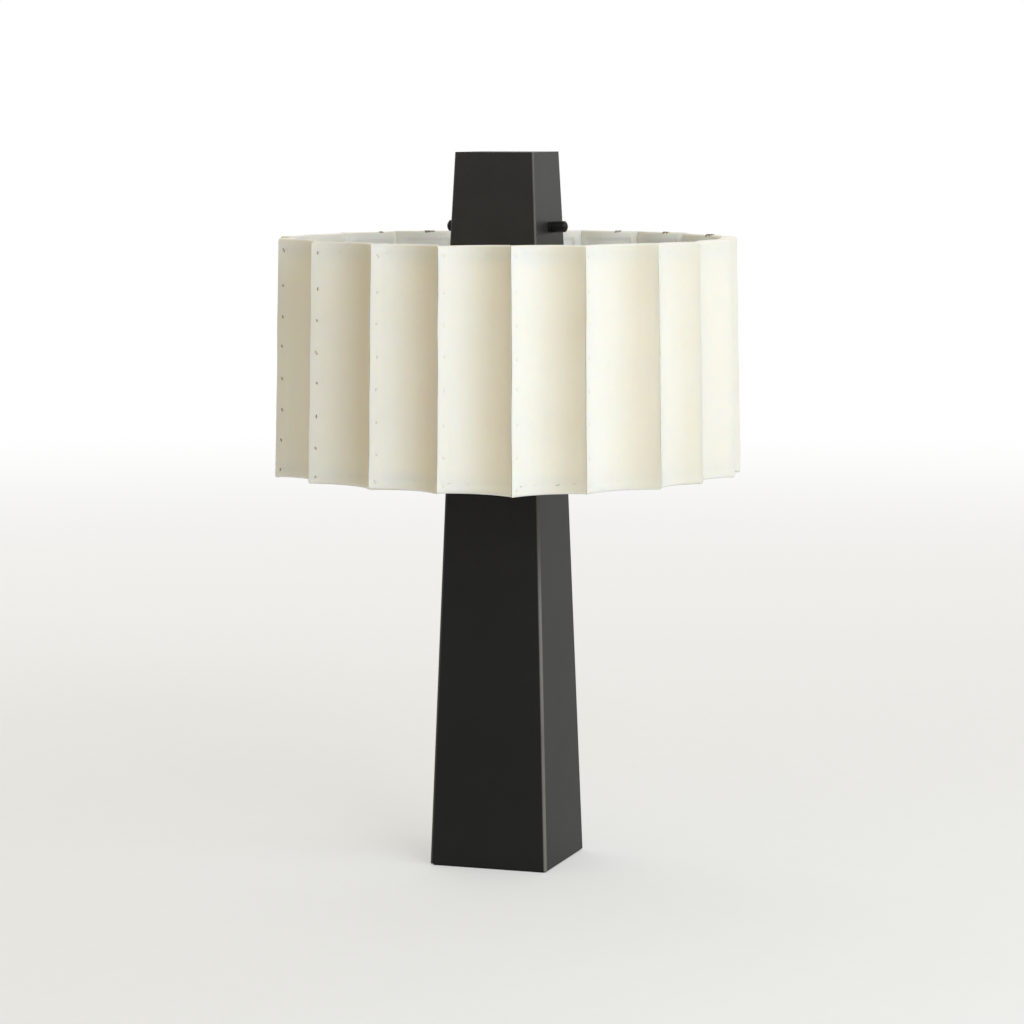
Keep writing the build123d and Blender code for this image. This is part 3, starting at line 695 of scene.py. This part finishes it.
    def hem(self, arc):
        """The fold at a rim, from the outer face to the lining: distances from the rim with depths."""
        inside, bed = 2 * ROLL, SHEET + HEM_BED
        over_rib = 1 - smooth(RIB_END, RIB_CLEAR, min(arc, self.arc - arc))
        fold = []
        for angle in steps(math.pi, 0.0, ROLL_STEPS)[1:]:
            fold.append((ROLL - ROLL * math.sin(angle), ROLL + ROLL * math.cos(angle)))
        under = []
        for down in steps(ROLL, HEM_LENGTH, HEM_STEPS)[1:]:
            over_strip = 1 - smooth(STRIP_END, STRIP_CLEAR, down)
            depth = bed + (inside - HEM_LAYER - bed) * max(over_strip, over_rib)
            depth += RIB_LIFT * over_rib * smooth(RIB_LIFT_FROM, RIB_LIFT_TO, down)
            feather = HEM_FEATHER * smooth((ROLL + HEM_LENGTH) / 2, HEM_LENGTH, down)
            fold.append((down, depth + HEM_LAYER * (1 - feather)))
            under.append((down, depth))
        fold += reversed(under)
        pocket = (inside - HEM_LAYER - SHEET) / 2
        for angle in steps(0.0, math.pi, POCKET_STEPS)[:-1]:
            fold.append((ROLL - HEM_POCKET * math.sin(angle), SHEET + pocket + pocket * math.cos(angle)))
        return fold

    def section(self, arc):
        """The sheet's closed profile at one column: points with their stain and hole shade, doubled and
        painted shade marks.
        """
        painted_shade = self.painted_shade(arc)
        outside = []
        for z in self.rows():
            outside.append((self.skin(arc, z), self.stain_and_hole_shade(arc, z), self.doubled(arc, z), painted_shade))
        fold = self.hem(arc)
        top = [(self.at(arc, RIM_HIGH - down, depth), *HEM_MARKS) for down, depth in fold]
        levels = steps(RIM_HIGH - ROLL, RIM_LOW + ROLL, LINING_ROWS)
        lining = [(self.lining(arc, z), *LINING_MARKS) for z in levels]
        bottom = [(self.at(arc, RIM_LOW + down, depth), *HEM_MARKS) for down, depth in reversed(fold)]
        return outside + top + lining + bottom

    def build(self):
        sections = [self.section(arc) for arc in self.columns()]
        count = len(sections[0])
        points = [point for section in sections for point in section]
        faces = []
        for column in range(len(sections) - 1):
            for k in range(count):
                a, b = column * count + k, column * count + (k + 1) % count
                faces.append((a, a + count, b + count, b))
        faces.append(tuple(range(count)))
        faces.append(tuple(range((len(sections) - 1) * count, len(sections) * count))[::-1])
        name = f"sewn_panel_{self.index + 1:02d}"
        piece = solid(name, [point[0] for point in points], faces, finishes["shade_sheet"])
        for k, mark in enumerate(("stain_and_hole_shade", "doubled", "painted_shade"), 1):
            paint(piece, mark, [point[k] for point in points])
        paint(piece, "tone", [self.tone] * len(points))
        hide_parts(f"shade_panel_{self.index + 1:02d}")


def solid(name, points, faces, finish):
    """A closed mesh as a piece that rides on the lamp, smooth but for its sharp edges."""
    mesh = bpy.data.meshes.new(name)
    mesh.from_pydata([tuple(point) for point in points], [], faces)
    work = bmesh.new()
    work.from_mesh(mesh)
    bmesh.ops.recalc_face_normals(work, faces=work.faces)
    for face in work.faces:
        face.smooth = True
    work.to_mesh(mesh)
    work.free()
    mesh.set_sharp_from_angle(angle=SHARP_ANGLE)
    mesh.materials.append(finish)
    piece = bpy.data.objects.new(name, mesh)
    bpy.context.scene.collection.objects.link(piece)
    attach(piece, "lamp")
    return piece


def paint(piece, name, values):
    layer = piece.data.attributes.new(name, "FLOAT", "POINT")
    layer.data.foreach_set("value", values)


panels = [Panel(index) for index in range(PANELS)]
for panel in panels:
    panel.build()


# Sewing

# Stitches beside the ridges: ends in millimetres along the arc and upwards; the long kinds grow with size
STITCH_ENDS = {
    "dash": [((0.0, -1.6), (0.2, 1.6))],
    "slant": [((-0.7, 1.3), (0.7, -1.3))],
    "dot": [((-0.3, -0.9), (0.3, 0.9))],
    "pair": [((-0.9, 0.4), (-0.5, 1.9)), ((0.5, -1.8), (0.9, -0.4))],
}
LONG_KINDS = ("dash", "slant")

# Radius of the thread and rise of a stitch's bow, from bleached to dark
RIDGE_THREAD, RIDGE_BOW = (0.24 * MM, 0.33 * MM), (0.12 * MM, 0.30 * MM)
HEM_THREAD, HEM_BOW = (0.20 * MM, 0.32 * MM), (0.08 * MM, 0.28 * MM)
HEM_SLOPE = 0.06
RUN_THREAD = 0.30 * MM

# Height of a bow over the sheet, as a share of its rise, and of a run behind the lining, in millimetres
BOW = ((0, -0.8), (0.07, -0.1), (0.22, 0.7), (0.5, 1), (0.78, 0.7), (0.93, -0.1), (1, -0.8))
RUN = ((0, -0.5), (0.04, 0.1), (0.15, 0.4), (0.5, 0.55), (0.85, 0.4), (0.96, 0.1), (1, -0.5))

# Whippings of brown thread round the upper rim at the back: panel, distance along it and number of turns
RIM_TIES = ((2, 11 * MM, 6), (3, 23 * MM, 7), (4, 23 * MM, 6), (7, 37 * MM, 11), (8, 30 * MM, 4))
TIE_THREAD, TIE_STEP, TIE_SUNK = 0.33 * MM, 1.05 * MM, 1.0 * MM
TIE_PROUD, TIE_TUCK, TIE_PARTS = 0.6, 0.2, 9

# Directions that a strand's section is set out from; the second serves strands too close to the first
GUIDES = (Vector((0.31, 0.22, 0.93)), Vector((0.93, 0.22, 0.31)))
TOO_CLOSE = 0.2
STRAND_SIDES = 7


def aged(span, age):
    return span[0] + (span[1] - span[0]) * age


class Sewing:
    """Threads of one kind, gathered into one piece; age runs from bleached to dark."""

    def __init__(self):
        self.points, self.faces, self.ages = [], [], []

    def strand(self, path, radius, age):
        first, count, sides = len(self.points), len(path), STRAND_SIDES
        for k, spot in enumerate(path):
            ahead = (path[min(k + 1, count - 1)] - path[max(k - 1, 0)]).normalized()
            side = ahead.cross(GUIDES[0])
            if side.length < TOO_CLOSE:
                side = ahead.cross(GUIDES[1])
            side.normalize()
            other = ahead.cross(side)
            for turn in range(sides):
                angle = 2 * math.pi * turn / sides
                self.points.append(spot + radius * (math.cos(angle) * side + math.sin(angle) * other))
        for k in range(count - 1):
            for turn in range(sides):
                a, b = first + k * sides + turn, first + k * sides + (turn + 1) % sides
                self.faces.append((a, b, b + sides, a + sides))
        self.faces.append(tuple(first + turn for turn in range(sides))[::-1])
        self.faces.append(tuple(first + (count - 1) * sides + turn for turn in range(sides)))
        self.ages += [age] * (sides * count)

    def stitch(self, panel, start, end, radius, rise, age):
        """A bow of thread over the outer face, both ends sunk in the sheet; start and end are (arc, z)."""
        reach = 0.3 * MM
        path = []
        for share, lift in BOW:
            arc, z = (start[i] + (end[i] - start[i]) * share for i in (0, 1))
            across = panel.skin(arc + reach, z) - panel.skin(arc - reach, z)
            upward = panel.skin(arc, z + reach) - panel.skin(arc, z - reach)
            path.append(panel.skin(arc, z) + lift * rise * across.cross(upward).normalized())
        self.strand(path, radius, age)

    def piece(self, name, finish):
        made = solid(name, self.points, self.faces, finish)
        paint(made, "age", self.ages)


def sew_ridges():
    """Stitches down the lap of each ridge, and the thread's runs between them behind the lining."""
    yarn = Sewing()
    for panel in panels:
        age = panel.left.age
        radius, rise = aged(RIDGE_THREAD, age), aged(RIDGE_BOW, age)
        for arc, z, kind, size in panel.ridge_stitches:
            grown = (size if kind in LONG_KINDS else 1.0) * MM
            for ends in STITCH_ENDS[kind]:
                start, end = ((arc + along * MM, z + up * grown) for along, up in ends)
                yarn.stitch(panel, start, end, radius, rise, age)
        for above, below in zip(panel.ridge_stitches, panel.ridge_stitches[1:]):
            path = []
            for share, depth in RUN:
                arc, z = (above[i] + (below[i] - above[i]) * share for i in (0, 1))
                path.append(panel.at(arc, z, panel.sag(arc, z) + SHEET + depth * MM))
            yarn.strand(path, RUN_THREAD, age)
    yarn.piece("ridge_sewing", finishes["ridge_thread"])


def sew_hems():
    """Stitches along both hems."""
    for end, rim, inward in (("low", RIM_LOW, 1), ("high", RIM_HIGH, -1)):
        yarn = Sewing()
        for panel in panels:
            for arc, down, length, age in panel.hem_stitches[end]:
                z, slope = rim + inward * down, HEM_SLOPE * length
                start, stop = (arc - length / 2, z - slope), (arc + length / 2, z + slope)
                yarn.stitch(panel, start, stop, aged(HEM_THREAD, age), aged(HEM_BOW, age), age)
        yarn.piece(f"hem_sewing_{end}", finishes["hem_thread"])


def tie_rim():
    """Loose turns of thread over the rim, from the outer face to the hem, their ends sunk in the sheet."""
    pick = random.Random("ties")
    yarn = Sewing()
    edge = RIM_HIGH - ROLL
    for index, middle, turns in RIM_TIES:
        panel = panels[index]
        for turn in range(turns):
            first = middle + (turn - turns / 2) * TIE_STEP + pick.uniform(-0.3, 0.3) * MM
            slant = pick.uniform(-1.0, 1.0) * MM
            reach = ROLL + pick.uniform(0.3, 1.0) * TIE_THREAD
            last = math.pi * pick.uniform(0.68, 0.95)
            face = panel.sag(first, edge) + panel.relief(first, edge)
            path = [panel.at(first, edge - TIE_SUNK, face + TIE_THREAD)]
            path.append(panel.at(first, edge, face - TIE_PROUD * TIE_THREAD))
            for share in steps(0.0, 1.0, TIE_PARTS)[2:]:
                arc, angle = first + slant * share, last * share
                path.append(panel.at(arc, edge + reach * math.sin(angle), ROLL - reach * math.cos(angle)))
            inside, angle = ROLL - 2 * TIE_THREAD, last + TIE_TUCK
            path.append(panel.at(arc, edge + inside * math.sin(angle), ROLL - inside * math.cos(angle)))
            yarn.strand(path, TIE_THREAD, pick.uniform(0.75, 1.0))
    yarn.piece("rim_ties", finishes["tie_thread"])


sew_ridges()
sew_hems()
tie_rim()


# Studio

# The floor pales from its glow near the lamp to white at a distance, in metres
FLOOR_RADIUS, FLOOR_DROP = 14.0, 0.1 * MM
GLOW_FROM, GLOW_TO, GLOW_NEAR = 0.25, 5.0, 0.4
WHITE = (1.0, 1.0, 1.0, 1.0)

# Light from all round is warm, and the lamps are cool but for a weak one on the left
FILL, FILL_STRENGTH = (1.0, 0.86, 0.58, 1.0), 0.497
DAYLIGHT, SKYLIGHT, LAMPLIGHT = (0.87, 0.945, 1.0), (0.95, 0.98, 1.0), (1.0, 0.975, 0.93)

# Camera as fitted to the photograph: lens in millimetres, place in metres, angles in degrees
LENS, SENSOR = 123.48, 36.0
CAMERA_PLACE = (1.1023, -3.2624, 0.7326)
CAMERA_DOWN, CAMERA_TURN = 6.4, 18.592


def seen_background(tree):
    """1 for rays from the camera and for those that gloss or glass sends on, else 0."""
    kinds = ("Camera", "Glossy", "Transmission")
    camera, glossy, through = (tree.node("ShaderNodeLightPath", out=f"Is {kind} Ray") for kind in kinds)
    return camera | glossy | through


def studio_floor():
    cloth = Finish("studio_floor")
    where = cloth.place()
    away = cloth.node("ShaderNodeVectorMath", {"operation": "LENGTH"}, {0: where}, "Value")
    weave = cloth.noise(where, 34.0, 3.0)
    colour = cloth.blend(weave, shade_of(0.77, 0.805, 0.86), shade_of(0.80, 0.835, 0.89))
    dull = {"Base Color": colour, "Roughness": 0.85, "Specular IOR Level": 0.2}
    matt = cloth.node("ShaderNodeBsdfPrincipled", None, dull)
    glow = cloth.node("ShaderNodeEmission", None, {"Color": WHITE, "Strength": 1.0})
    far = cloth.ease(away, GLOW_FROM, GLOW_TO, GLOW_NEAR, 1.0) * seen_background(cloth)
    mixed = cloth.node("ShaderNodeMixShader", None, {0: far, 1: matt, 2: glow})
    cloth.node("ShaderNodeOutputMaterial", None, {"Surface": mixed})
    work = bmesh.new()
    bmesh.ops.create_circle(work, cap_ends=True, segments=128, radius=FLOOR_RADIUS)
    mesh = bpy.data.meshes.new("studio_floor")
    work.to_mesh(mesh)
    work.free()
    mesh.materials.append(cloth.material)
    floor = bpy.data.objects.new("studio_floor", mesh)
    floor.location.z = -FLOOR_DROP
    bpy.context.scene.collection.objects.link(floor)


def studio_world():
    world = bpy.data.worlds.new("studio")
    world.use_nodes = True
    sky = Finish("studio", world.node_tree)
    seen = seen_background(sky)
    fill = sky.node("ShaderNodeBackground", None, {"Color": FILL, "Strength": FILL_STRENGTH})
    white = sky.node("ShaderNodeBackground", None, {"Color": WHITE, "Strength": 1.0})
    mixed = sky.node("ShaderNodeMixShader", None, {0: seen, 1: fill, 2: white})
    sky.node("ShaderNodeOutputWorld", None, {"Surface": mixed})
    bpy.context.scene.world = world


def soft_lamp(name, azimuth, elevation, away, size, watts, colour, aim):
    """A wide soft light, aimed at a height on the axis; azimuth 0 stands in front, 90 to the right."""
    lamp = bpy.data.lights.new(name, "AREA")
    lamp.shape = "RECTANGLE"
    lamp.size, lamp.size_y = size
    lamp.energy = watts
    lamp.color = colour
    stand = bpy.data.objects.new(name, lamp)
    bpy.context.scene.collection.objects.link(stand)
    a, e = math.radians(azimuth), math.radians(elevation)
    outward = Vector((math.sin(a) * math.cos(e), -math.cos(a) * math.cos(e), math.sin(e)))
    stand.location = Vector((0, 0, aim)) + away * outward
    stand.rotation_euler = outward.to_track_quat("Z", "Y").to_euler()


def set_camera():
    lens = bpy.data.cameras.new("camera")
    lens.lens = LENS
    lens.sensor_width = SENSOR
    camera = bpy.data.objects.new("camera", lens)
    camera.location = CAMERA_PLACE
    camera.rotation_euler = (math.radians(90 - CAMERA_DOWN), 0.0, math.radians(CAMERA_TURN))
    bpy.context.scene.collection.objects.link(camera)
    bpy.context.scene.camera = camera


studio_floor()
studio_world()
soft_lamp("key", azimuth=80, elevation=25, away=2.7, size=(2.2, 1.4), watts=18.5, colour=DAYLIGHT, aim=0.42)
soft_lamp("front", azimuth=42, elevation=24, away=2.8, size=(1.2, 1.4), watts=26, colour=DAYLIGHT, aim=0.42)
soft_lamp("back", azimuth=192, elevation=40, away=2.8, size=(2.6, 1.8), watts=17, colour=SKYLIGHT, aim=0.5)
soft_lamp("left", azimuth=238, elevation=32, away=2.8, size=(2.0, 1.6), watts=9, colour=LAMPLIGHT, aim=0.46)
set_camera()
bpy.context.scene.view_settings.view_transform = "Standard"
